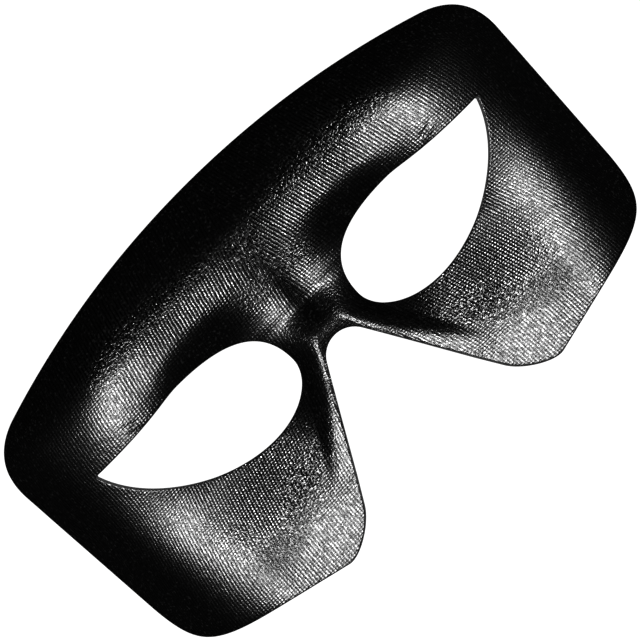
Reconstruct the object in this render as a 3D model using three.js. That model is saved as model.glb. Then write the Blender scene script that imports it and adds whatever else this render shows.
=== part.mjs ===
// A domino mask: a half mask of stretch satin bonded to a stiff backing and moulded as one sheet.
// It covers the brow, the eyes and the cheeks, with two eye holes and a notch for the nose.
// Millimetres. +X is across the face, +Y towards the forehead, +Z out of the face.
// It lies on its two side rims, at z = 0, with the origin midway between them.
import * as THREE from "three";

// Driving sizes of the plan, as seen from the front. Each half mirrors the other.
const HALF_WIDTH = 90;
const TOP_Y = 51.7; // the top edge at the middle
const TOP_RADIUS = 263.7; // of the long arc of the top edge
const TOP_ARC_END_X = 77.3; // where that arc runs into the rounded corner
const SIDE_TOP_Y = 22.4; // the upper end of the straight side, where the mask is widest
const SIDE_BOTTOM_Y = -20.1;
const SIDE_LEAN = 0.067; // how far the side leans in, for each millimetre down
const BOTTOM_OUTER = [62.1, -46.5]; // the cheek's straight lower edge, from the side
const BOTTOM_INNER = [40.6, -51.6]; // to the nose
const NOSE_RADIUS = 7.7; // of the arch over the nose
const NOSE_ARCH_Y = -12.9; // the arch's centre
const NOSE_SLOPE = 0.587; // of the nose's sides, millimetres out for each one down
const NOSE_SIDE_END_Y = -43.1;

// How far each rounded corner is drawn towards the point where its two sides would meet.
const TOP_CORNER_FULLNESS = 0.66;
const SIDE_CORNER_FULLNESS = 0.9;
const CHEEK_CORNER_FULLNESS = 0.43;

// The eye hole's four extremes. The mesh's rays start at a point inside it.
const EYE_INNER = [12.5, -1.9];
const EYE_TOP = [39.5, 15.0];
const EYE_TIP = [72.4, 13.1];
const EYE_BOTTOM = [31.6, -13.9];
const EYE_CENTRE = [36, 1];

// Driving sizes of the relief. A pair is the stretch over which a form comes in or dies out.
const SHEET = 1.2; // thickness of the bonded sheet
const WING_START = 82; // outside this the temples are flat, where a band is fastened
const WRAP = {
  gentle: 9.8, // the drop round the head that starts at the nose
  steep: 28.5, // the drop that sets in towards the temples
  power: 11.4, // how suddenly that sets in
};
const TOP_ROLL = {
  reach: 26.2, // the brow rolls back over this height, up to the top edge
  radius: 32.9,
  templeRadius: 48, // of the further roll over the temples
  templeStart: [31.7, 61.2],
  templeMerge: [66, 88], // where the two rolls become one
};
const CORNER_ROLL = { reach: 12, radius: 17, start: [52, 80] }; // the cheek's outer corner
const BROW = {
  height: 8.8, // over the cheek
  crestY: 25.1,
  crestFall: 4.3, // how much lower the crest is over the temples
  crestTurn: [22, 62],
  slope: 18.5, // from the crest down to where the brow ends
  slopeGain: 18.7, // how much longer that is over the temples
  slopeTurn: [32, 59.5],
  end: [48.5, WING_START],
};
const KEEL = {
  height: 3.4, // the soft ridge up the middle of the brow
  width: 21.4,
  lowerStart: [-12, 8], // half of its height comes in here
  upperStart: [10, 24], // and half here
  end: [33, 47],
};
const NOSE = {
  bridge: [7.8, 24.6],
  tip: [-4.8, 8],
  tipHeight: 5.1, // what the nose gains on its way down to the notch
  rounding: 4,
  flank: 7.7, // the width of its flank beside the notch
  flankGain: 11, // and how much wider it is above
  flankTurn: [-6, 10],
  start: [-36, 0.8],
};
const FLARE = {
  height: 8, // the cheek's lower inner corner
  edge: 60, // it rises inwards from here
  rounding: 8,
  width: 38.3,
  base: 0.37, // the share that the whole lower cheek has
  outerEnd: [60, WING_START],
  upperEnd: [-42, -3.3],
};
const CHEEK = { height: 2.4, centre: [22.7, -15.2], spread: [9.4, 12.7] }; // beside the nose
const SOCKET = { height: -1.3, centre: [51, 19.4], spread: [9, 11.5] }; // over the eye hole

// How finely the sheet is divided.
const RINGS = 10; // from each eye hole out to the edge
const RING_CROWDING = 1.2; // over 1 to put the rings closer together near the eye
const STATION_GAP = 4.4; // along the edge

const smooth = (low, high, value) => THREE.MathUtils.smoothstep(value, low, high);

// The value where it is well above zero, and zero well below, with a soft turn between.
const softPositive = (value, softness) => (value + Math.hypot(value, softness)) / 2;

// The place of a point that lies a share of the way from a to b.
function between(a, b, share) {
  return [a[0] + (b[0] - a[0]) * share, a[1] + (b[1] - a[1]) * share];
}

// How far a surface drops that bends away on a circle, once a run has passed its start.
function rollDrop(run, radius) {
  return run <= 0 ? 0 : radius - Math.sqrt(radius * radius - run * run);
}

function topEdgeY(x) {
  return TOP_Y - rollDrop(Math.abs(x), TOP_RADIUS);
}

function sideEdgeX(y) {
  return HALF_WIDTH - SIDE_LEAN * (SIDE_TOP_Y - y);
}

function bottomEdgeY(x) {
  const slope =
    (BOTTOM_OUTER[1] - BOTTOM_INNER[1]) / (BOTTOM_OUTER[0] - BOTTOM_INNER[0]);
  return BOTTOM_INNER[1] + (x - BOTTOM_INNER[0]) * slope;
}

// The nose's straight sides meet above the arch that rounds them off.
const NOSE_APEX_Y = NOSE_ARCH_Y + NOSE_RADIUS * Math.hypot(1, 1 / NOSE_SLOPE);
const noseEdgeX = (y) => NOSE_SLOPE * (NOSE_APEX_Y - y);

// The front falls away to the sides, slowly over the cheeks and steeply at the temples,
// and ends in a flat wing.
function wrapDrop(across) {
  const share = Math.min(across, WING_START) / HALF_WIDTH;
  const gentle = WRAP.gentle * share ** 2;
  const steep = WRAP.steep * share ** WRAP.power;
  const slope = (2 * gentle + WRAP.power * steep) / (share * HALF_WIDTH || 1);
  return gentle + steep + slope * Math.max(0, across - WING_START);
}

const DEPTH = wrapDrop(HALF_WIDTH); // from the side rims to the middle of the cheeks

// The brow stands over the eyes. Its lower border arches, and softens beyond the eye.
function brow(x, y, across) {
  const top = BROW.crestY - BROW.crestFall * smooth(...BROW.crestTurn, x);
  const bottom = top - BROW.slope - BROW.slopeGain * smooth(...BROW.slopeTurn, x);
  return BROW.height * (1 - smooth(...BROW.end, across)) * smooth(bottom, top, y);
}

// A soft ridge runs up the middle of the brow from the nose.
function keel(x, y) {
  const along = (smooth(...KEEL.lowerStart, y) + smooth(...KEEL.upperStart, y)) / 2;
  const profile = Math.exp(-((x / KEEL.width) ** 2));
  return KEEL.height * profile * along * (1 - smooth(...KEEL.end, y));
}

// The nose: a ridge from the brow down, which opens to both sides of the notch.
function nose(x, y) {
  const bridge = BROW.height * (1 - smooth(...NOSE.bridge, y));
  const tip = NOSE.tipHeight * (1 - smooth(...NOSE.tip, y));
  const flat = softPositive(noseEdgeX(y), NOSE.rounding);
  const width = NOSE.flank + NOSE.flankGain * smooth(...NOSE.flankTurn, y);
  const flank = Math.max(0, x - flat) / width;
  return (bridge + tip) * smooth(...NOSE.start, y) * softPositive(1 - flank ** 2, 0.2);
}

// The cheek's lower inner corner stands out, beside the wing of the nose.
function flare(x, y, across) {
  const inward = softPositive(FLARE.edge - x, FLARE.rounding) / FLARE.width;
  const fade = (1 - smooth(...FLARE.outerEnd, across)) * (1 - smooth(...FLARE.upperEnd, y));
  return FLARE.height * (inward ** 2 + FLARE.base) * fade;
}

// A soft mound, or a hollow where its height is negative.
function mound(x, y, { height, centre, spread }) {
  const [u, v] = [(x - centre[0]) / spread[0], (y - centre[1]) / spread[1]];
  return height * Math.exp(-(u ** 2) - v ** 2);
}

// The front surface's height above the rims.
function frontZ(xSigned, y) {
  const x = Math.abs(xSigned);
  const across = Math.max(0, x + SIDE_LEAN * (SIDE_TOP_Y - y));
  const run = TOP_ROLL.reach - (topEdgeY(x) - y);
  const top = rollDrop(run, TOP_ROLL.radius);
  const temple = smooth(...TOP_ROLL.templeStart, x) * rollDrop(run, TOP_ROLL.templeRadius);
  const merged = smooth(...TOP_ROLL.templeMerge, x) * temple;
  const cornerRun = CORNER_ROLL.reach - (y - bottomEdgeY(x));
  const corner = smooth(...CORNER_ROLL.start, x) * rollDrop(cornerRun, CORNER_ROLL.radius);
  const raised = brow(x, y, across) + keel(x, y) + nose(x, y) + flare(x, y, across);
  const soft = mound(x, y, CHEEK) + mound(x, y, SOCKET);
  const rolled = Math.hypot(wrapDrop(across), top + merged, corner) + temple - merged;
  return DEPTH - rolled + raised + soft;
}

// The front surface's unit normal, from its slopes.
function frontNormal(x, y) {
  const step = 0.05;
  const slopeX = (frontZ(x + step, y) - frontZ(x - step, y)) / (2 * step);
  const slopeY = (frontZ(x, y + step) - frontZ(x, y - step)) / (2 * step);
  return new THREE.Vector3(-slopeX, -slopeY, 1).normalize();
}

// Adds a rounded corner to a path, from its last point.
function roundCorner(path, corner, end, fullness) {
  const start = path.currentPoint.toArray();
  path.bezierCurveTo(
    ...between(start, corner, fullness),
    ...between(end, corner, fullness),
    ...end,
  );
}

// Where the lines a-b and c-d cross.
function crossing(a, b, c, d) {
  const [ux, uy] = [b[0] - a[0], b[1] - a[1]];
  const [vx, vy] = [d[0] - c[0], d[1] - c[1]];
  const share = ((c[0] - a[0]) * vy - (c[1] - a[1]) * vx) / (ux * vy - uy * vx);
  return [a[0] + ux * share, a[1] + uy * share];
}

// The right half's edge, clockwise from the top of the middle line, and back up that line.
function halfOutline() {
  const arcEnd = Math.asin(TOP_ARC_END_X / TOP_RADIUS);
  const topArcEnd = [TOP_ARC_END_X, topEdgeY(TOP_ARC_END_X)];
  const topTangent = [topArcEnd[0] + Math.cos(arcEnd), topArcEnd[1] - Math.sin(arcEnd)];
  const sideTop = [HALF_WIDTH, SIDE_TOP_Y];
  const sideBottom = [sideEdgeX(SIDE_BOTTOM_Y), SIDE_BOTTOM_Y];
  const noseEnd = [noseEdgeX(NOSE_SIDE_END_Y), NOSE_SIDE_END_Y];
  const noseApex = [0, NOSE_APEX_Y];
  const topCorner = crossing(topArcEnd, topTangent, sideTop, sideBottom);
  const sideCorner = crossing(sideTop, sideBottom, BOTTOM_OUTER, BOTTOM_INNER);
  const cheekCorner = crossing(BOTTOM_OUTER, BOTTOM_INNER, noseEnd, noseApex);
  const archStart = Math.atan(NOSE_SLOPE);

  const path = new THREE.Path();
  path.moveTo(0, TOP_Y);
  path.absarc(0, TOP_Y - TOP_RADIUS, TOP_RADIUS, Math.PI / 2, Math.PI / 2 - arcEnd, true);
  roundCorner(path, topCorner, sideTop, TOP_CORNER_FULLNESS);
  path.lineTo(...sideBottom);
  roundCorner(path, sideCorner, BOTTOM_OUTER, SIDE_CORNER_FULLNESS);
  path.lineTo(...BOTTOM_INNER);
  roundCorner(path, cheekCorner, noseEnd, CHEEK_CORNER_FULLNESS);
  path.absarc(0, NOSE_ARCH_Y, NOSE_RADIUS, archStart, Math.PI / 2, false);
  path.lineTo(0, TOP_Y);
  return path;
}

// Points along a path, evenly spaced on each of its curves, with every joint kept.
function stations(path) {
  const points = [];
  for (const curve of path.curves) {
    const length = curve.getLength();
    if (length < 1e-6) continue;
    const count = Math.max(1, Math.round(length / STATION_GAP));
    for (let i = 0; i < count; i++) points.push(curve.getPointAt(i / count).toArray());
  }
  return points;
}

// The eye hole, clockwise from its inner end. Only its outer tip is sharp.
function eyePath() {
  const path = new THREE.Path();
  path.moveTo(...EYE_INNER);
  path.bezierCurveTo(EYE_INNER[0], 8.7, 19.6, EYE_TOP[1], ...EYE_TOP);
  path.bezierCurveTo(45.5, EYE_TOP[1], 50.1, 12.7, ...EYE_TIP);
  path.bezierCurveTo(67.4, -2.3, 47.6, EYE_BOTTOM[1], ...EYE_BOTTOM);
  path.bezierCurveTo(19.1, EYE_BOTTOM[1], EYE_INNER[0], -7.2, ...EYE_INNER);
  return path;
}

const bearing = (point) =>
  Math.atan2(point[1] - EYE_CENTRE[1], point[0] - EYE_CENTRE[0]);

// The point of a closed ring of points that lies in a given direction from the eye's centre.
function ringPointAt(ring, angle) {
  for (let i = 0; i < ring.length; i++) {
    const a = ring[i];
    const b = ring[(i + 1) % ring.length];
    let span = bearing(b) - bearing(a);
    let turn = angle - bearing(a);
    span = Math.atan2(Math.sin(span), Math.cos(span));
    turn = Math.atan2(Math.sin(turn), Math.cos(turn));
    if (turn * span >= 0 && Math.abs(turn) <= Math.abs(span)) {
      const target = [
        EYE_CENTRE[0] + Math.cos(angle),
        EYE_CENTRE[1] + Math.sin(angle),
      ];
      return crossing(EYE_CENTRE, target, a, b);
    }
  }
  throw new Error("no ring point at " + angle);
}

// The plan of the right half, as rays from the eye hole to the edge.
function halfPlan() {
  const edge = stations(halfOutline());
  const eye = eyePath().getPoints(60).map((p) => p.toArray());
  eye.pop(); // the last point closes the loop on the first
  // The ray nearest the eye's tip is turned to meet it exactly.
  const tipAngle = bearing(EYE_TIP);
  const nearest = edge.reduce((best, point, i) => {
    const off = Math.abs(bearing(point) - tipAngle);
    return off < best.off ? { off, i } : best;
  }, { off: Infinity, i: 0 }).i;
  edge[nearest] = ringPointAt(edge, tipAngle);
  return edge.map((outer, i) => {
    const inner = i === nearest ? EYE_TIP : ringPointAt(eye, bearing(outer));
    return Array.from({ length: RINGS + 1 }, (_, ring) =>
      between(inner, outer, (ring / RINGS) ** RING_CROWDING),
    );
  });
}

// The moulded sheet: a front and a back surface, joined round the edge and the eye holes.
function shellGeometry() {
  const positions = [];
  const index = [];
  const onMiddle = new Map(); // points on the middle line belong to both halves
  const plan = halfPlan();
  const count = plan.length;

  const pairAt = ([planX, y], sign) => {
    const x = planX * sign;
    const normal = frontNormal(x, y);
    const front = new THREE.Vector3(x, y, Math.max(0, frontZ(x, y)));
    const back = front.clone().addScaledVector(normal, -SHEET);
    if (back.z < 0) {
      // The side rims are cut level where they rest, so the back edge slides up its slope.
      const slope = normal.x ** 2 + normal.y ** 2;
      const slide = back.z / slope;
      back.x += slide * normal.x * normal.z;
      back.y += slide * normal.y * normal.z;
      back.z = 0;
    }
    const first = positions.length / 3;
    positions.push(...front.toArray(), ...back.toArray());
    return first;
  };

  for (const sign of [1, -1]) {
    const ids = plan.map((ray) =>
      ray.map((point) => {
        const middle = Math.abs(point[0]) < 1e-6;
        const key = point[1].toFixed(5);
        if (middle && onMiddle.has(key)) return onMiddle.get(key);
        const id = pairAt(middle ? [0, point[1]] : point, sign);
        if (middle) onMiddle.set(key, id);
        return id;
      }),
    );
    // A face of the front, seen from outside, and the same face of the back turned round.
    const face = (a, b, c, side) => {
      const outwards = (side === 0) !== (sign === 1);
      index.push(a + side, ...(outwards ? [b + side, c + side] : [c + side, b + side]));
    };
    // A strip of wall between two neighbours on a rim.
    const wall = (a, b) => {
      const [from, to] = sign === 1 ? [b, a] : [a, b];
      index.push(from, to, to + 1, from, to + 1, from + 1);
    };
    for (let i = 0; i < count; i++) {
      const here = ids[i];
      const next = ids[(i + 1) % count];
      for (let ring = 0; ring < RINGS; ring++) {
        for (const side of [0, 1]) {
          face(here[ring], here[ring + 1], next[ring + 1], side);
          face(here[ring], next[ring + 1], next[ring], side);
        }
      }
      wall(here[0], next[0]);
      const [outer, nextOuter] = [plan[i][RINGS], plan[(i + 1) % count][RINGS]];
      const alongMiddle = Math.abs(outer[0]) < 1e-6 && Math.abs(nextOuter[0]) < 1e-6;
      if (!alongMiddle) wall(next[RINGS], here[RINGS]);
    }
  }

  const geometry = new THREE.BufferGeometry();
  geometry.setAttribute("position", new THREE.Float32BufferAttribute(positions, 3));
  geometry.setIndex(index);
  geometry.computeVertexNormals();
  return geometry;
}

const satin = new THREE.MeshStandardMaterial({
  color: 0x0b0b0c,
  roughness: 0.42,
  metalness: 0,
});

const mask = new THREE.Mesh(shellGeometry(), satin);
mask.name = "mask_shell";

const part = new THREE.Group();
part.name = "domino_mask";
part.add(mask);

export default part;
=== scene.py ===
"""Black satin domino mask, lying on its side rims, seen from straight above.

The mask is one moulded sheet: a fine surface with rounded, cut edges stands for the CAD shell.
Plan and relief repeat the CAD sizes. Work is in millimetres; the mesh is scaled to metres.
"""
import math

import bpy
import numpy as np
from mathutils import Euler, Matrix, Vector


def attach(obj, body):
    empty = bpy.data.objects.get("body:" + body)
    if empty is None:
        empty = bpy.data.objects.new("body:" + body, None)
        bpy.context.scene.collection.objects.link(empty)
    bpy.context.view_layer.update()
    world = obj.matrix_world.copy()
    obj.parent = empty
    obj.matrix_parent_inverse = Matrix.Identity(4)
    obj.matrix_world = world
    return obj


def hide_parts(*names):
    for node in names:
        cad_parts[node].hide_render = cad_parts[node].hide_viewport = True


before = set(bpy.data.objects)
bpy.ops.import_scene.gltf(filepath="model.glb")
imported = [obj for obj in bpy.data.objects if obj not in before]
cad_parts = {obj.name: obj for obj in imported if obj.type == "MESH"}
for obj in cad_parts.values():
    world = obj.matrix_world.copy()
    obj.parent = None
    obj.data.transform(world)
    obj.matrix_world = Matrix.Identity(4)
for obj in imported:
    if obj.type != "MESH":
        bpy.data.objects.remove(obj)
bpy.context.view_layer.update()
MM = 0.001


# Camera: straight down at the middle of the mask, rolled so that the mask lies on the slant.

MM_PER_PIXEL = 0.27
IMAGE_WIDTH = 640
LENS = 1000.0
SENSOR = 36.0
FOCUS_HEIGHT = 0.020  # the height whose scale is exact
CAMERA_X, CAMERA_Y = -0.00012, 0.00020
CAMERA_ROLL = -45  # degrees

camera_data = bpy.data.cameras.new("camera")
camera_data.sensor_width = SENSOR
camera_data.lens = LENS
camera_data.clip_start = 0.1
camera_data.clip_end = 50.0
camera = bpy.data.objects.new("camera", camera_data)
distance = MM_PER_PIXEL * MM * IMAGE_WIDTH * LENS / SENSOR
camera.location = (CAMERA_X, CAMERA_Y, FOCUS_HEIGHT + distance)
camera.rotation_euler = Euler((0, 0, math.radians(CAMERA_ROLL)))
bpy.context.scene.collection.objects.link(camera)
bpy.context.scene.camera = camera


# Plan of the mask, the same sizes as the solid's.

HALF_WIDTH = 90.0
TOP_Y = 51.7
TOP_RADIUS = 263.7
TOP_ARC_END_X = 77.3
SIDE_TOP_Y = 22.4
SIDE_BOTTOM_Y = -20.1
SIDE_LEAN = 0.067
BOTTOM_OUTER = np.array([62.1, -46.5])
BOTTOM_INNER = np.array([40.6, -51.6])
NOSE_RADIUS = 7.7
NOSE_ARCH_Y = -12.9
NOSE_SLOPE = 0.587
NOSE_SIDE_END_Y = -43.1
NOSE_APEX_Y = NOSE_ARCH_Y + NOSE_RADIUS * math.hypot(1, 1 / NOSE_SLOPE)
TOP_CORNER_FULLNESS = 0.66
SIDE_CORNER_FULLNESS = 0.9
CHEEK_CORNER_FULLNESS = 0.43
EYE_INNER = (12.5, -1.9)
EYE_TOP = (39.5, 15.0)
EYE_TIP = (72.4, 13.1)
EYE_BOTTOM = (31.6, -13.9)
EYE_HANDLES = [  # of its four curves, from the inner end over the top to the tip and back
    ((12.5, 8.7), (19.6, 15.0)),
    ((45.5, 15.0), (50.1, 12.7)),
    ((67.4, -2.3), (47.6, -13.9)),
    ((19.1, -13.9), (12.5, -7.2)),
]
EYE_CENTRE = np.array([36.0, 1.0])

# Relief, the same sizes as the solid's. A pair is the stretch over which a form comes in or dies out.

SHEET = 1.2
WING_START = 82.0
WRAP_GENTLE = 9.8
WRAP_STEEP = 28.5
WRAP_POWER = 11.4
TOP_ROLL_REACH = 26.2
TOP_ROLL_RADIUS = 32.9
TEMPLE_ROLL_RADIUS = 48.0
TEMPLE_ROLL_START = (31.7, 61.2)
TEMPLE_ROLL_MERGE = (66.0, 88.0)
CORNER_ROLL_REACH = 12.0
CORNER_ROLL_RADIUS = 17.0
CORNER_ROLL_START = (52.0, 80.0)
BROW_HEIGHT = 8.8
BROW_CREST_Y = 25.1
BROW_CREST_FALL = 4.3
BROW_CREST_TURN = (22.0, 62.0)
BROW_SLOPE = 18.5
BROW_SLOPE_GAIN = 18.7
BROW_SLOPE_TURN = (32.0, 59.5)
BROW_END = (48.5, WING_START)
KEEL_HEIGHT = 3.4
KEEL_WIDTH = 21.4
KEEL_LOWER_START = (-12.0, 8.0)
KEEL_UPPER_START = (10.0, 24.0)
KEEL_END = (33.0, 47.0)
NOSE_BRIDGE = (7.8, 24.6)
NOSE_TIP = (-4.8, 8.0)
NOSE_TIP_HEIGHT = 5.1
NOSE_ROUNDING = 4.0
NOSE_FLANK = 7.7
NOSE_FLANK_GAIN = 11.0
NOSE_FLANK_TURN = (-6.0, 10.0)
NOSE_START = (-36.0, 0.8)
FLARE_HEIGHT = 8.0
FLARE_EDGE = 60.0
FLARE_ROUNDING = 8.0
FLARE_WIDTH = 38.3
FLARE_BASE = 0.37
FLARE_OUTER_END = (60.0, WING_START)
FLARE_UPPER_END = (-42.0, -3.3)
CHEEK = (2.4, (22.7, -15.2), (9.4, 12.7))  # height, centre and spread
SOCKET = (-1.3, (51.0, 19.4), (9.0, 11.5))

# The crease over each eye hole: a groove with a low lip below it.

CREASE_PLACE = (55.5, 16.3)
CREASE_DIRECTION = (0.97, 0.24)
CREASE_HALF_LENGTH = 2.6
GROOVE_DEPTH, GROOVE_WIDTH = 0.2, 0.45
LIP_HEIGHT, LIP_WIDTH, LIP_DROP = 0.16, 0.7, 0.9

EDGE_ROUND = 0.35  # of the satin where it turns over the cut edge
BACK_ROUND = 0.2
BACK_CLEARANCE = 0.08  # between the table and the back where its rim is cut level
LEAST_SLOPE = 0.3  # taken for a rim that is nearly level, so that it isn't moved far

# How finely the sheet is divided.

CURVE_POINTS = 401
STATION_GAP = 0.8
RINGS = 48
RING_CROWDING = 1.1
NORMAL_STEP = 0.05
ON_MIDDLE = 1e-6  # a point this near to the middle line is on it


def smooth(low, high, value):
    t = np.clip((value - low) / (high - low), 0, 1)
    return t * t * (3 - 2 * t)


def soft_positive(value, softness):
    return (value + np.hypot(value, softness)) / 2


def roll_drop(run, radius):
    run = np.clip(run, 0, radius * 0.999)
    return radius - np.sqrt(radius * radius - run * run)


def top_edge_y(x):
    return TOP_Y - roll_drop(np.abs(x), TOP_RADIUS)


def bottom_edge_y(x):
    rise = (BOTTOM_OUTER - BOTTOM_INNER)[1] / (BOTTOM_OUTER - BOTTOM_INNER)[0]
    return BOTTOM_INNER[1] + (x - BOTTOM_INNER[0]) * rise


def wrap_drop(across):
    share = np.minimum(across, WING_START) / HALF_WIDTH
    gentle = WRAP_GENTLE * share**2
    steep = WRAP_STEEP * share**WRAP_POWER
    slope = (2 * gentle + WRAP_POWER * steep) / np.maximum(share * HALF_WIDTH, 1e-9)
    return gentle + steep + slope * np.maximum(0, across - WING_START)


DEPTH = float(wrap_drop(np.array(HALF_WIDTH)))


def brow(x, y, across):
    top = BROW_CREST_Y - BROW_CREST_FALL * smooth(*BROW_CREST_TURN, x)
    bottom = top - BROW_SLOPE - BROW_SLOPE_GAIN * smooth(*BROW_SLOPE_TURN, x)
    return BROW_HEIGHT * (1 - smooth(*BROW_END, across)) * smooth(bottom, top, y)


def keel(x, y):
    along = (smooth(*KEEL_LOWER_START, y) + smooth(*KEEL_UPPER_START, y)) / 2
    return KEEL_HEIGHT * np.exp(-((x / KEEL_WIDTH) ** 2)) * along * (1 - smooth(*KEEL_END, y))


def nose(x, y):
    bridge = BROW_HEIGHT * (1 - smooth(*NOSE_BRIDGE, y))
    tip = NOSE_TIP_HEIGHT * (1 - smooth(*NOSE_TIP, y))
    flat = soft_positive(NOSE_SLOPE * (NOSE_APEX_Y - y), NOSE_ROUNDING)
    flank = np.maximum(0, x - flat) / (NOSE_FLANK + NOSE_FLANK_GAIN * smooth(*NOSE_FLANK_TURN, y))
    return (bridge + tip) * smooth(*NOSE_START, y) * soft_positive(1 - flank**2, 0.2)


def flare(x, y, across):
    inward = soft_positive(FLARE_EDGE - x, FLARE_ROUNDING) / FLARE_WIDTH
    fade = (1 - smooth(*FLARE_OUTER_END, across)) * (1 - smooth(*FLARE_UPPER_END, y))
    return FLARE_HEIGHT * (inward**2 + FLARE_BASE) * fade


def mound(x, y, height, centre, spread):
    u, v = (x - centre[0]) / spread[0], (y - centre[1]) / spread[1]
    return height * np.exp(-(u**2) - v**2)


def relief(x, y):
    """Height of the moulded form over the rims, for x >= 0."""
    across = np.maximum(0, x + SIDE_LEAN * (SIDE_TOP_Y - y))
    run = TOP_ROLL_REACH - (top_edge_y(x) - y)
    temple = smooth(*TEMPLE_ROLL_START, x) * roll_drop(run, TEMPLE_ROLL_RADIUS)
    merged = smooth(*TEMPLE_ROLL_MERGE, x) * temple
    corner_run = CORNER_ROLL_REACH - (y - bottom_edge_y(x))
    corner = smooth(*CORNER_ROLL_START, x) * roll_drop(corner_run, CORNER_ROLL_RADIUS)
    top = roll_drop(run, TOP_ROLL_RADIUS) + merged
    rolled = np.sqrt(wrap_drop(across) ** 2 + top**2 + corner**2) + temple - merged
    raised = brow(x, y, across) + keel(x, y) + nose(x, y) + flare(x, y, across)
    return DEPTH - rolled + raised + mound(x, y, *CHEEK) + mound(x, y, *SOCKET)


def crease(x, y):
    """A short crease pressed into the satin over the eye hole's outer part."""
    u, v = x - CREASE_PLACE[0], y - CREASE_PLACE[1]
    c, s = CREASE_DIRECTION
    along = u * c + v * s
    across = -u * s + v * c
    window = np.exp(-((along / CREASE_HALF_LENGTH) ** 4))
    lip = LIP_HEIGHT * np.exp(-(((across + LIP_DROP) / LIP_WIDTH) ** 2))
    groove = GROOVE_DEPTH * np.exp(-((across / GROOVE_WIDTH) ** 2))
    return window * (lip - groove)


def front_z(x, y):
    x = np.abs(x)
    return relief(x, y) + crease(x, y)


def front_normal(x, y):
    step = NORMAL_STEP
    slope_x = (front_z(x + step, y) - front_z(x - step, y)) / (2 * step)
    slope_y = (front_z(x, y + step) - front_z(x, y - step)) / (2 * step)
    slope_x = np.where(np.abs(x) < ON_MIDDLE, 0, slope_x)
    n = np.stack([-slope_x, -slope_y, np.ones_like(slope_x)], -1)
    return n / np.linalg.norm(n, axis=-1, keepdims=True)


def crossing(a, b, c, d):
    """Where the line through a and b meets the line through c and d."""
    u, v, w = b - a, d - c, c - a
    return a + u * (w[0] * v[1] - w[1] * v[0]) / (u[0] * v[1] - u[1] * v[0])


def bezier(a, b, c, d):
    t = np.linspace(0, 1, CURVE_POINTS)[:, None]
    return (1 - t) ** 3 * a + 3 * (1 - t) ** 2 * t * b + 3 * (1 - t) * t**2 * c + t**3 * d


def corner_curve(start, corner, end, fullness):
    return bezier(start, start + (corner - start) * fullness, end + (corner - end) * fullness, end)


def arc(centre, radius, start, end):
    a = np.linspace(start, end, CURVE_POINTS)
    return np.stack([centre[0] + radius * np.cos(a), centre[1] + radius * np.sin(a)], -1)


def line(a, b):
    return np.stack([a, b])


def evenly(curve, gap):
    """Points along a polyline at an even gap, without its last point."""
    lengths = np.hypot(*np.diff(curve, axis=0).T)
    run = np.concatenate([[0], np.cumsum(lengths)])
    count = max(1, round(run[-1] / gap))
    at = np.arange(count) * run[-1] / count
    return np.stack([np.interp(at, run, curve[:, 0]), np.interp(at, run, curve[:, 1])], -1)


def half_outline():
    """The right half's rim from the top of the middle line, and then back up that line."""
    end_angle = math.asin(TOP_ARC_END_X / TOP_RADIUS)
    arc_end = np.array([TOP_ARC_END_X, float(top_edge_y(TOP_ARC_END_X))])
    tangent = arc_end + [math.cos(end_angle), -math.sin(end_angle)]
    side_top = np.array([HALF_WIDTH, SIDE_TOP_Y])
    side_bottom = np.array([HALF_WIDTH - SIDE_LEAN * (SIDE_TOP_Y - SIDE_BOTTOM_Y), SIDE_BOTTOM_Y])
    nose_end = np.array([NOSE_SLOPE * (NOSE_APEX_Y - NOSE_SIDE_END_Y), NOSE_SIDE_END_Y])
    apex = np.array([0.0, NOSE_APEX_Y])
    top_corner = crossing(arc_end, tangent, side_top, side_bottom)
    side_corner = crossing(side_top, side_bottom, BOTTOM_OUTER, BOTTOM_INNER)
    cheek_corner = crossing(BOTTOM_OUTER, BOTTOM_INNER, nose_end, apex)
    arch_start = math.atan(NOSE_SLOPE)
    arch_first = np.array(
        [NOSE_RADIUS * math.cos(arch_start), NOSE_ARCH_Y + NOSE_RADIUS * math.sin(arch_start)]
    )
    rim = [
        arc((0, TOP_Y - TOP_RADIUS), TOP_RADIUS, math.pi / 2, math.pi / 2 - end_angle),
        corner_curve(arc_end, top_corner, side_top, TOP_CORNER_FULLNESS),
        line(side_top, side_bottom),
        corner_curve(side_bottom, side_corner, BOTTOM_OUTER, SIDE_CORNER_FULLNESS),
        line(BOTTOM_OUTER, BOTTOM_INNER),
        corner_curve(BOTTOM_INNER, cheek_corner, nose_end, CHEEK_CORNER_FULLNESS),
        line(nose_end, arch_first),
        arc((0, NOSE_ARCH_Y), NOSE_RADIUS, arch_start, math.pi / 2),
    ]
    notch_top = np.array([0.0, NOSE_ARCH_Y + NOSE_RADIUS])
    middle = line(notch_top, np.array([0.0, TOP_Y]))
    rim_points = np.concatenate([evenly(curve, STATION_GAP) for curve in rim])
    return np.concatenate([rim_points, evenly(middle, STATION_GAP)]), len(rim_points)


def eye_ring():
    """The eye hole's rim, clockwise from its inner end."""
    ends = np.array([EYE_INNER, EYE_TOP, EYE_TIP, EYE_BOTTOM, EYE_INNER])
    handles = np.array(EYE_HANDLES)
    curves = [bezier(a, b, c, d) for a, (b, c), d in zip(ends[:-1], handles, ends[1:])]
    return np.concatenate([curve[:-1] for curve in curves])


def bearing(point):
    return math.atan2(point[1] - EYE_CENTRE[1], point[0] - EYE_CENTRE[0])


def ring_point(ring, angles, angle):
    """Where a ray from the eye's centre meets the ring. The ring's angles fall steadily."""
    turn = (angles[0] - angle) % (2 * math.pi)
    i = int(np.searchsorted(angles[0] - angles, turn, side="right")) - 1
    a, b = ring[i], ring[(i + 1) % len(ring)]
    return crossing(EYE_CENTRE, EYE_CENTRE + [math.cos(angle), math.sin(angle)], a, b)


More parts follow.
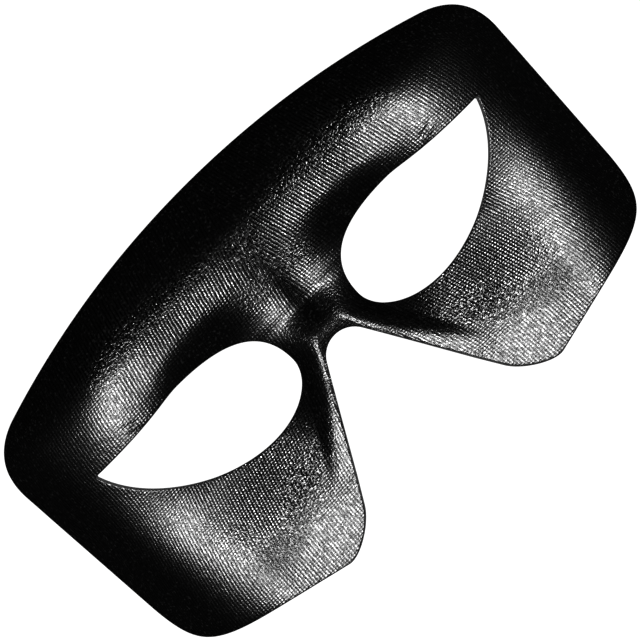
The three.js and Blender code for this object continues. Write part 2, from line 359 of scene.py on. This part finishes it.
def away(loop, closed, outward):
    """Plan directions square to a loop of points; outward is 1 for a clockwise outline."""
    before, after = np.roll(loop, 1, axis=0), np.roll(loop, -1, axis=0)
    step = after - before
    side = np.stack([-step[:, 1], step[:, 0]], -1) * outward
    if not closed:
        side[0], side[-1] = (0, 1), (0, -1)
    return side / np.linalg.norm(side, axis=-1, keepdims=True)


# The weave runs down the mask in ribs, which lean outwards a little more over the cheeks.

RIB_Y = [-60, -44, -38, -33, -26, -20, -14, -8, -2, 8, 16, 22, 28, 60]
RIB_LEAN = [5, 3, 6, 14.5, 16.5, 18, 20, 20, 18, 9, 12, 13, 15, 14]
RIB_PITCH = 0.965
RIB_PITCH_GAIN = 0.055
RIB_PITCH_TURN = (-10, 22)
STITCH_PITCH = 0.75

run_x = np.linspace(0, 100, 2001)
girth = np.concatenate([[0], np.cumsum(np.hypot(np.diff(run_x), np.diff(wrap_drop(run_x))))])
run_y = np.linspace(-60, 60, 1201)
rib_pitch = RIB_PITCH + RIB_PITCH_GAIN * smooth(*RIB_PITCH_TURN, run_y)
lean = np.tan(np.radians(np.interp(run_y, RIB_Y, RIB_LEAN))) / rib_pitch
lean_sum = np.cumsum(lean) * (run_y[1] - run_y[0])


def weave(x, y):
    """Counts of ribs across and of stitches along, at a place in the plan."""
    across = np.interp(np.abs(x), run_x, girth) / np.interp(y, run_y, rib_pitch)
    return np.stack([across + np.interp(y, run_y, lean_sum), y / STITCH_PITCH], -1)


# How the cloth was drawn over the form: patches where its ribs are pulled apart, with deeper painted
# shade in the grooves, and patches where it is crumpled.
# There are also patches of painted shade, where the satin's reflection is dimmed. Each is x, y, half
# length, half width, lean in degrees, strength.

OPENED = [
    (38, -22, 21, 11, -12, 1.0),
    (18, 29, 32, 8, 8, 0.95),
    (46, 36, 18, 5, -14, 0.8),
    (8, 16, 9, 4, 0, 0.8),
]
CRUMPLED = [
    (36, -29, 14, 6, -38, 0.9),
    (50, -36, 10, 5, 0, 0.8),
    (56, -28, 5, 8, 0, 0.5),
    (30, -14, 9, 3, 0, 0.5),
    (46, 33, 12, 5, -14, 1.0),
    (24, 35, 24, 5, 0, 0.8),
    (6, 18, 8, 4, 0, 0.8),
    (22, -38, 4, 5, 0, 0.5),
    (0, 30, 6, 8, 0, 0.8),
    (21, -22, 5, 9, 20, 0.7),
    (6, 1, 8, 5, 0, 0.7),
    (8, -9, 3, 9, 28, 0.6),
]
# Patches of painted shade, where the specular tint is dimmed: one low on the cheek, and a line down
# the middle of the nose bridge.
SHADED_PATCHES = [
    (54, -37, 13, 5, 0, 0.3),
    (0, 9, 2.6, 10, 0, 0.7),
]
PATCH_FADE = (0.55, 1.35)  # in half lengths and half widths from a patch's middle


def drawn(x, y, patches):
    """0 to 1: how far places in the plan lie in any of the patches."""
    most = np.zeros(np.shape(x))
    for px, py, length, width, turn, strength in patches:
        c, s = math.cos(math.radians(turn)), math.sin(math.radians(turn))
        along = ((np.abs(x) - px) * c + (y - py) * s) / length
        off = ((y - py) * c - (np.abs(x) - px) * s) / width
        most = np.maximum(most, strength * (1 - smooth(*PATCH_FADE, np.hypot(along, off))))
    return most


# The right half's plan: rays from the eye hole's rim to the outer rim.

edge, rim_count = half_outline()
eye = eye_ring()
eye_angles = np.unwrap([bearing(p) for p in eye])
nearest = int(np.argmin([abs(bearing(p) - bearing(EYE_TIP)) for p in edge]))
eye_rim = np.array([ring_point(eye, eye_angles, bearing(p)) for p in edge])
eye_rim[nearest] = EYE_TIP


def on_front(places):
    return np.concatenate([places, front_z(places[..., 0], places[..., 1])[..., None]], -1)


def tuck_in(rim, out):
    """Moves a rim inwards, so that its rounded edge ends on the outline."""
    n = front_normal(rim[:, 0], rim[:, 1])
    inset = EDGE_ROUND * (1 - np.sum(n[:, :2] * out, -1))
    return rim - out * inset[:, None]


def edge_section():
    """Places across the rounded edge: out along the satin, and down into the sheet."""
    front = [
        (EDGE_ROUND * math.sin(a), EDGE_ROUND * (1 - math.cos(a)))
        for a in np.radians([22.5, 45, 67.5, 90])
    ]
    back = [
        (EDGE_ROUND - BACK_ROUND * (1 - math.cos(a)), SHEET - BACK_ROUND * (1 - math.sin(a)))
        for a in np.radians([0, 45, 90])
    ]
    return front + back


def edge_strip(start, out):
    """The rounded edge's points, from the satin's last ring to the back's."""
    n = front_normal(start[:, 0], start[:, 1])
    flat_out = np.concatenate([out, np.zeros((len(out), 1))], -1)
    along = flat_out - np.sum(flat_out * n, -1, keepdims=True) * n
    along /= np.linalg.norm(along, axis=-1, keepdims=True)
    base = on_front(start)
    rows = [base + along * a - n * b for a, b in edge_section()]
    return np.stack([rest_level(row, along) for row in rows], 1)


def rest_level(points, along):
    """Slides what would lie under the table up the slope, so that the side rims are level."""
    under = np.minimum(points[:, 2:], 0)
    steep = np.minimum(along[:, 2:], -LEAST_SLOPE)
    return points - along * (under / steep)


out_edge = away(edge[: rim_count + 1], False, 1)
out_eye = away(eye_rim, True, -1)
edge_in = edge.copy()
edge_in[: rim_count + 1] = tuck_in(edge[: rim_count + 1], out_edge)
eye_in = tuck_in(eye_rim, out_eye)

share = (np.arange(RINGS + 1) / RINGS) ** RING_CROWDING
plan = eye_in[:, None] + (edge_in - eye_in)[:, None] * share[None, :, None]
front = on_front(plan)
front[..., 2] = np.maximum(front[..., 2], 0.0)

# The back starts further in where its rim is cut level.
rim_normal = front_normal(edge_in[:, 0], edge_in[:, 1])
short = SHEET * rim_normal[:, 2] + BACK_CLEARANCE - front[:, -1, 2]
slope = np.linalg.norm(rim_normal[:, :2], axis=-1) / rim_normal[:, 2]
back_start = np.where(short > 0, short / np.maximum(slope, LEAST_SLOPE), 0)
edge_back = edge_in.copy()
edge_back[: rim_count + 1] -= out_edge * back_start[: rim_count + 1, None]
back_plan = eye_in[:, None] + (edge_back - eye_in)[:, None] * share[None, ::2, None]
back_normal = front_normal(back_plan[..., 0], back_plan[..., 1])
back = on_front(back_plan) - SHEET * back_normal
edge_profile = edge_strip(edge_in[: rim_count + 1], out_edge)
eye_profile = edge_strip(eye_in, out_eye)


# The mesh of the right half: every face with its corners' places in the flat layout (UV map).

SATIN, FELT, CUT = 0, 1, 2
LAYOUT = 246.0  # millimetres along one side of the UV square
FRONT_UP, BACK_UP, EYE_UP, EDGE_UP = 68, -52, -107, -112  # where each piece lies in it
STRIP_LENGTH = 116  # a longer strip is shrunk to it
STRIP_STEP = 0.45
STRIP_MARGIN = 1

points, weaves = [], []
faces, layouts, finishes = [], [], []


def add_points(grid, threads):
    first = sum(len(p) for p in points)
    points.append(grid.reshape(-1, 3))
    weaves.append(threads.reshape(-1, 2))
    return first + np.arange(grid.shape[0] * grid.shape[1]).reshape(grid.shape[:2])


def add_faces(ids, layout, finish, closed, flip):
    """Quads over a grid of points. finish is one material, or one for each column of faces."""
    rows = ids.shape[0] if closed else ids.shape[0] - 1
    here, following = np.arange(rows), (np.arange(rows) + 1) % ids.shape[0]
    for c in range(ids.shape[1] - 1):
        corners = [(here, c), (here, c + 1), (following, c + 1), (following, c)]
        places = [(here, c), (here, c + 1), (here + 1, c + 1), (here + 1, c)]
        if layout.shape[0] == ids.shape[0]:
            places = corners
        if flip:
            corners, places = corners[::-1], places[::-1]
        faces.append(np.stack([ids[r, k] for r, k in corners], -1))
        layouts.append(np.stack([layout[r, k] for r, k in places], 1))
        finishes.append(np.full(rows, finish if np.isscalar(finish) else finish[c]))


def flat_layout(plan_points, up):
    across = np.interp(plan_points[..., 0], run_x, girth)
    return np.stack([across, plan_points[..., 1] + up], -1)


def strip_layout(profile, up):
    """A rim's strip drawn out straight, a little shrunk to fit the square."""
    ends = profile[:, 3]
    gaps = np.linalg.norm(np.diff(np.concatenate([ends, ends[:1]]), axis=0), axis=-1)
    run = np.concatenate([[0], np.cumsum(gaps)])[: len(profile) + 1]
    depth = np.arange(profile.shape[1]) * STRIP_STEP
    run = run * min(1.0, STRIP_LENGTH / run[-1])
    return np.stack(np.broadcast_arrays(run[:, None] + STRIP_MARGIN, depth[None] + up), -1)


def plain_weave(plan_points, columns):
    threads = weave(plan_points[:, 0], plan_points[:, 1])
    return np.repeat(threads[:, None], columns, axis=1)


front_ids = add_points(front, weave(plan[..., 0], plan[..., 1]))
back_ids = add_points(back, weave(back_plan[..., 0], back_plan[..., 1]))
edge_ids = add_points(edge_profile, plain_weave(edge_in[: rim_count + 1], edge_profile.shape[1]))
eye_ids = add_points(eye_profile, plain_weave(eye_in, eye_profile.shape[1]))

add_faces(front_ids, flat_layout(plan, FRONT_UP), SATIN, True, True)
add_faces(back_ids, flat_layout(back_plan, BACK_UP), FELT, True, False)
ends = slice(0, rim_count + 1)
edge_grid = np.concatenate([front_ids[ends, -1:], edge_ids, back_ids[ends, -1:]], 1)
eye_grid = np.concatenate([front_ids[:, :1], eye_ids, back_ids[:, :1]], 1)
section = [SATIN, SATIN, CUT, CUT, CUT, CUT, FELT, FELT]
wide_edge = np.concatenate([front[ends, -1:], edge_profile, back[ends, -1:]], 1)
wide_eye = np.concatenate([front[:, :1], eye_profile, back[:, :1]], 1)
add_faces(edge_grid, strip_layout(wide_edge, EDGE_UP)[:-1], section, False, True)
add_faces(eye_grid, strip_layout(wide_eye, EYE_UP), section, True, False)

points, weaves = map(np.concatenate, (points, weaves))
points[:, 2] = np.maximum(points[:, 2], 0)  # nothing lies under the table
faces, layouts, finishes = map(np.concatenate, (faces, layouts, finishes))

# The left half mirrors it, and shares the points on the middle line.
middle = np.abs(points[:, 0]) < ON_MIDDLE
points[middle, 0] = 0
mirrored = np.where(middle, np.arange(len(points)), len(points) + np.cumsum(~middle) - 1)
all_points = np.concatenate([points, points[~middle] * [-1, 1, 1]])
all_weaves = np.concatenate([weaves, weaves[~middle]])
all_faces = np.concatenate([faces, mirrored[faces][:, ::-1]])
all_layouts = np.concatenate([layouts, (layouts * [-1, 1])[:, ::-1]])
all_layouts = all_layouts / LAYOUT + 0.5
all_finishes = np.concatenate([finishes, finishes])

mesh = bpy.data.meshes.new("mask")
mesh.from_pydata((all_points * MM).tolist(), [], all_faces.tolist())
mesh.polygons.foreach_set("material_index", all_finishes.astype(np.int32))
mesh.polygons.foreach_set("use_smooth", np.ones(len(all_faces), bool))
layer = mesh.uv_layers.new(name="OFBake")
layer.data.foreach_set("uv", all_layouts.astype(np.float32).ravel())
threads = mesh.attributes.new("weave", "FLOAT2", "POINT")
threads.data.foreach_set("vector", all_weaves.astype(np.float32).ravel())
at_x, at_y = all_points[:, 0], all_points[:, 1]
# Per point: how far the cloth is pulled open, how far it is crumpled, and how much painted shade it
# has.
stretch = np.stack([drawn(at_x, at_y, patches) for patches in (OPENED, CRUMPLED, SHADED_PATCHES)], -1)
cloth = mesh.attributes.new("stretch", "FLOAT_VECTOR", "POINT")
cloth.data.foreach_set("vector", stretch.astype(np.float32).ravel())
mesh.update()
mask = bpy.data.objects.new("mask_satin", mesh)
bpy.context.scene.collection.objects.link(mask)


# Materials.


class Nodes:
    """A material's node tree, with short ways to add its nodes."""

    def __init__(self, name):
        self.material = bpy.data.materials.new(name)
        self.material.use_nodes = True
        self.tree = self.material.node_tree
        self.tree.nodes.clear()
        self.shader = self.tree.nodes.new("ShaderNodeBsdfPrincipled")
        output = self.tree.nodes.new("ShaderNodeOutputMaterial")
        self.tree.links.new(self.shader.outputs["BSDF"], output.inputs["Surface"])

    def put(self, socket, value):
        if isinstance(value, bpy.types.NodeSocket):
            self.tree.links.new(value, socket)
        else:
            socket.default_value = value

    def math(self, operation, a, b=0.0, c=0.0):
        node = self.tree.nodes.new("ShaderNodeMath")
        node.operation = operation
        for socket, value in zip(node.inputs, (a, b, c)):
            self.put(socket, value)
        return node.outputs[0]

    def between(self, value, low, high, to_low, to_high):
        """The value carried from one range over to another, and held at its ends."""
        node = self.tree.nodes.new("ShaderNodeMapRange")
        names = ("Value", "From Min", "From Max", "To Min", "To Max")
        for name, v in zip(names, (value, low, high, to_low, to_high)):
            self.put(node.inputs[name], v)
        return node.outputs[0]

    def colours(self, share, dark, light):
        node = self.tree.nodes.new("ShaderNodeMix")
        node.data_type = "RGBA"
        self.put(node.inputs["Factor"], share)
        node.inputs[6].default_value = (*dark, 1)
        node.inputs[7].default_value = (*light, 1)
        return node.outputs[2]

    def noise(self, vector, scale, detail=2.0):
        node = self.tree.nodes.new("ShaderNodeTexNoise")
        self.put(node.inputs["Vector"], vector)
        node.inputs["Scale"].default_value = scale
        node.inputs["Detail"].default_value = detail
        return node.outputs["Fac"]

    def wander(self, vector, scale, span, detail=2.0):
        """Noise that strays to both sides of 0."""
        noise = self.noise(vector, scale, detail)
        return self.math("MULTIPLY_ADD", noise, span, -span / 2)

    def kept(self, name):
        """Numbers kept at the mesh's points, one by one."""
        attribute = self.tree.nodes.new("ShaderNodeAttribute")
        attribute.attribute_name = name
        split = self.tree.nodes.new("ShaderNodeSeparateXYZ")
        self.put(split.inputs[0], attribute.outputs["Vector"])
        return tuple(split.outputs)

    def wave(self, count):
        """1 at every whole count and 0 halfway between."""
        turn = self.math("MULTIPLY", count, 2 * math.pi)
        return self.math("MULTIPLY_ADD", self.math("COSINE", turn), 0.5, 0.5)

    def blend(self, share, a, b):
        return self.between(share, 0.0, 1.0, a, b)

    def place(self):
        return self.tree.nodes.new("ShaderNodeTexCoord").outputs["Object"]

    def bump(self, height, distance):
        node = self.tree.nodes.new("ShaderNodeBump")
        self.put(node.inputs["Height"], height)
        node.inputs["Distance"].default_value = distance
        self.tree.links.new(node.outputs["Normal"], self.shader.inputs["Normal"])

    def set(self, **values):
        for name, value in values.items():
            self.put(self.shader.inputs[name.replace("_", " ")], value)


# The satin. A value in brackets is a range, or else is for cloth as it lies and for cloth pulled open.

RIB_HEIGHT = 0.04  # heights in millimetres
STITCH_HEIGHT = (0.021, 0.025)
CRUMPLE_HEIGHT = 0.1
GRAIN_HEIGHT = 0.08
DRIFT_SCALE, DRIFT = 150.0, 0.5  # how ribs stray, in counts; noise scales are per metre
JITTER_SCALE, JITTER = 1000.0, 0.36
STITCH_JITTER = 1.5  # times the ribs' jitter
CREASES_SCALE, CREASES_RANGE = 1500.0, (0.44, 0.64)
MOST_CRUMPLED = 0.68
GRAIN_SCALE = 2200.0
# Down a rib's sides, between stitches and in the grooves, the colour and specular tint drop. This is
# painted shade for the shadow between threads.
THREAD_SIDE = (0.02, 0.2)  # the height of a rib where its shine begins, and where it is full
THREAD_TOP = (0.5, 0.68)
BREAK_SHADED_SHINE, BREAK_TOP = 0.8, 0.5  # the same between stitches
DASH_STRETCH, DASH_SCALE, DASH_RANGE, DASH_SHINE = 0.5, 0.9, (0.35, 0.65), 0.4
# Specular tint and colour in the grooves are painted shade, deeper where the cloth is pulled open. On
# the threads the tint is stronger where the cloth is pulled open.
GAP_SHADED_SHINE = (0.17, 0.015)
THREAD_SHINE = (0.57, 1.0)
GAP_SHADE_COLOUR, THREAD_COLOUR = 0.0006, 0.0016
FLUFF_SCALE, FLUFF_RANGE, FLUFF_COLOUR = 1500.0, (0.68, 0.75), 0.014
GAP_ROUGHNESS = 0.32
THREAD_ROUGHNESS = (0.255, 0.235)
SATIN_IOR = 2.0


def satin_material():
    """Ribbed stretch satin: bright threads on black, broken into short stitches, with painted shade in
    the grooves and between stitches.
    """
    m = Nodes("black_satin")
    across, along, _ = m.kept("weave")
    opened, crumpled, painted_shade = m.kept("stretch")
    place = m.place()
    drift = m.wander(place, DRIFT_SCALE, DRIFT)
    jitter = m.wander(place, JITTER_SCALE, JITTER, 1.0)
    rib = m.wave(m.math("ADD", across, m.math("ADD", drift, jitter)))
    stitch = m.wave(m.math("MULTIPLY_ADD", jitter, STITCH_JITTER, along))
    creases = m.between(m.noise(place, CREASES_SCALE, 1.0), *CREASES_RANGE, 0.0, 1.0)
    crumple = m.math("MULTIPLY", crumpled, MOST_CRUMPLED)

    stitch_height = m.math("MULTIPLY", stitch, m.blend(opened, *STITCH_HEIGHT))
    knit = m.math("MULTIPLY_ADD", rib, RIB_HEIGHT, stitch_height)
    cloth = m.blend(crumple, knit, m.math("MULTIPLY", creases, CRUMPLE_HEIGHT))
    height = m.math("MULTIPLY_ADD", m.noise(place, GRAIN_SCALE, 1.0), GRAIN_HEIGHT, cloth)

    # The thread's share is 1 on the rib tops and falls into the grooves, between stitches and into
    # crease hollows. It sets roughness, and its low end is painted shade.
    ribs = m.blend(crumple, rib, creases)
    thread = m.between(ribs, m.blend(opened, *THREAD_SIDE), m.blend(opened, *THREAD_TOP), 0, 1)
    stitch_hollow_shade = m.between(m.blend(crumple, stitch, creases), 0.0, BREAK_TOP, BREAK_SHADED_SHINE, 1.0)
    strands = m.tree.nodes.new("ShaderNodeCombineXYZ")
    m.put(strands.inputs[0], across)
    m.put(strands.inputs[1], m.math("MULTIPLY", along, DASH_STRETCH))
    dash = m.noise(strands.outputs[0], DASH_SCALE, 1.0)
    dashes = m.between(dash, *DASH_RANGE, DASH_SHINE, 1.0)
    thread_top_share = m.math("MULTIPLY", thread, m.math("MULTIPLY", stitch_hollow_shade, dashes))

    # Specular tint is low in the grooves and between stitches as painted shade. It is dimmed further
    # in the patches of painted shade.
    groove_shaded_shine = m.blend(thread_top_share, m.blend(opened, *GAP_SHADED_SHINE), m.blend(opened, *THREAD_SHINE))
    fluff = m.between(m.noise(place, FLUFF_SCALE, 0.0), *FLUFF_RANGE, 0.0, FLUFF_COLOUR)
    m.set(
        # Colour is darker in the grooves as painted shade, with random light fluff added.
        Base_Color=m.math("ADD", m.blend(thread_top_share, GAP_SHADE_COLOUR, THREAD_COLOUR), fluff),
        Roughness=m.blend(thread_top_share, GAP_ROUGHNESS, m.blend(opened, *THREAD_ROUGHNESS)),
        Specular_Tint=m.math("MULTIPLY", groove_shaded_shine, m.math("SUBTRACT", 1.0, painted_shade)),
    )
    m.shader.inputs["IOR"].default_value = SATIN_IOR
    m.shader.inputs["Specular IOR Level"].default_value = 1.0
    m.bump(height, MM)
    return m.material


# The felt and the cut edge. Roughness is for the hollows and for the tops of the fibres.

DARK = (0.02, 0.02, 0.02)
FELT_LIGHT = (0.12, 0.12, 0.123)
FELT_ROUGHNESS = (1.0, 0.85)
FELT_SCALE, FELT_DEPTH = 2600.0, 0.00015
FELT_PATCH_SCALE, FELT_PATCHES = 90.0, 0.3
CUT_LIGHT = (0.1, 0.1, 0.1)
CUT_ROUGHNESS = (0.95, 0.75)
CUT_SCALE, CUT_DEPTH = 3200.0, 0.00008
FIBRE_RANGE = (0.3, 0.7)
FIBRE_LEVEL = 0.2


def felt_material():
    """The backing: black felt with short fibres."""
    m = Nodes("black_felt")
    place = m.place()
    fibres = m.noise(place, FELT_SCALE, 4.0)
    patches = m.math("MULTIPLY", m.noise(place, FELT_PATCH_SCALE, 3.0), FELT_PATCHES)
    share = m.math("MULTIPLY_ADD", fibres, 1 - FELT_PATCHES, patches)
    m.set(
        Base_Color=m.colours(share, DARK, FELT_LIGHT),
        Roughness=m.between(share, *FIBRE_RANGE, *FELT_ROUGHNESS),
    )
    m.shader.inputs["Specular IOR Level"].default_value = FIBRE_LEVEL
    m.bump(fibres, FELT_DEPTH)
    return m.material


def cut_material():
    """The cut edge: satin, glue and felt pressed together."""
    m = Nodes("cut_edge")
    place = m.place()
    grain = m.noise(place, CUT_SCALE, 3.0)
    m.set(
        Base_Color=m.colours(grain, DARK, CUT_LIGHT),
        Roughness=m.between(grain, *FIBRE_RANGE, *CUT_ROUGHNESS),
    )
    m.shader.inputs["Specular IOR Level"].default_value = FIBRE_LEVEL
    m.bump(grain, CUT_DEPTH)
    return m.material


for make in (satin_material, felt_material, cut_material):
    mesh.materials.append(make())


# Floor, lamps and view. Lengths are in metres and powers in watts.

FLOOR_REACH = 12
FLOOR_GREY = 0.06
FLOOR_GLOW = 1.05
LAMP_SIZE = (0.65, 0.4)
LAMP_POWER = 18.0
LAMP_REACH = 1.3
LAMP_TILT = math.radians(41)  # off the vertical
LAMP_AIM = Vector((0, 0, 0.02))
WORLD_LIGHT = 0.01
VIEW_GAMMA = 0.72


def floor_material():
    m = Nodes("floor")
    m.set(
        Base_Color=(FLOOR_GREY, FLOOR_GREY, FLOOR_GREY, 1),
        Roughness=0.9,
        Emission_Color=(1, 1, 1, 1),
        Emission_Strength=FLOOR_GLOW,
    )
    m.shader.inputs["Specular IOR Level"].default_value = 0.0
    return m.material


r = FLOOR_REACH
floor_mesh = bpy.data.meshes.new("floor")
floor_mesh.from_pydata([(-r, -r, 0), (r, -r, 0), (r, r, 0), (-r, r, 0)], [], [(0, 1, 2, 3)])
floor_mesh.materials.append(floor_material())
floor = bpy.data.objects.new("floor", floor_mesh)
bpy.context.scene.collection.objects.link(floor)
floor.visible_glossy = False  # so that the dark sheet mirrors only the lamps


def soft_lamp(name, side):
    """A softbox in the plane of the mask's width."""
    data = bpy.data.lights.new(name, "AREA")
    data.shape = "RECTANGLE"
    data.size, data.size_y = LAMP_SIZE
    data.energy = LAMP_POWER
    lamp = bpy.data.objects.new(name, data)
    out, up = LAMP_REACH * math.sin(LAMP_TILT), LAMP_REACH * math.cos(LAMP_TILT)
    lamp.location = (side * out, 0, up)
    lamp.rotation_euler = (LAMP_AIM - lamp.location).to_track_quat("-Z", "X").to_euler()
    lamp.visible_camera = False
    bpy.context.scene.collection.objects.link(lamp)


soft_lamp("softbox_left", -1)
soft_lamp("softbox_right", 1)

world = bpy.data.worlds.new("studio")
world.use_nodes = True
background = world.node_tree.nodes["Background"]
background.inputs["Color"].default_value = (1, 1, 1, 1)
background.inputs["Strength"].default_value = WORLD_LIGHT
bpy.context.scene.world = world

view = bpy.context.scene.view_settings
view.view_transform = "Standard"
view.look = "None"
view.gamma = VIEW_GAMMA


# The frame's pieces.

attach(mask, "root")
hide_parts("mask_shell")
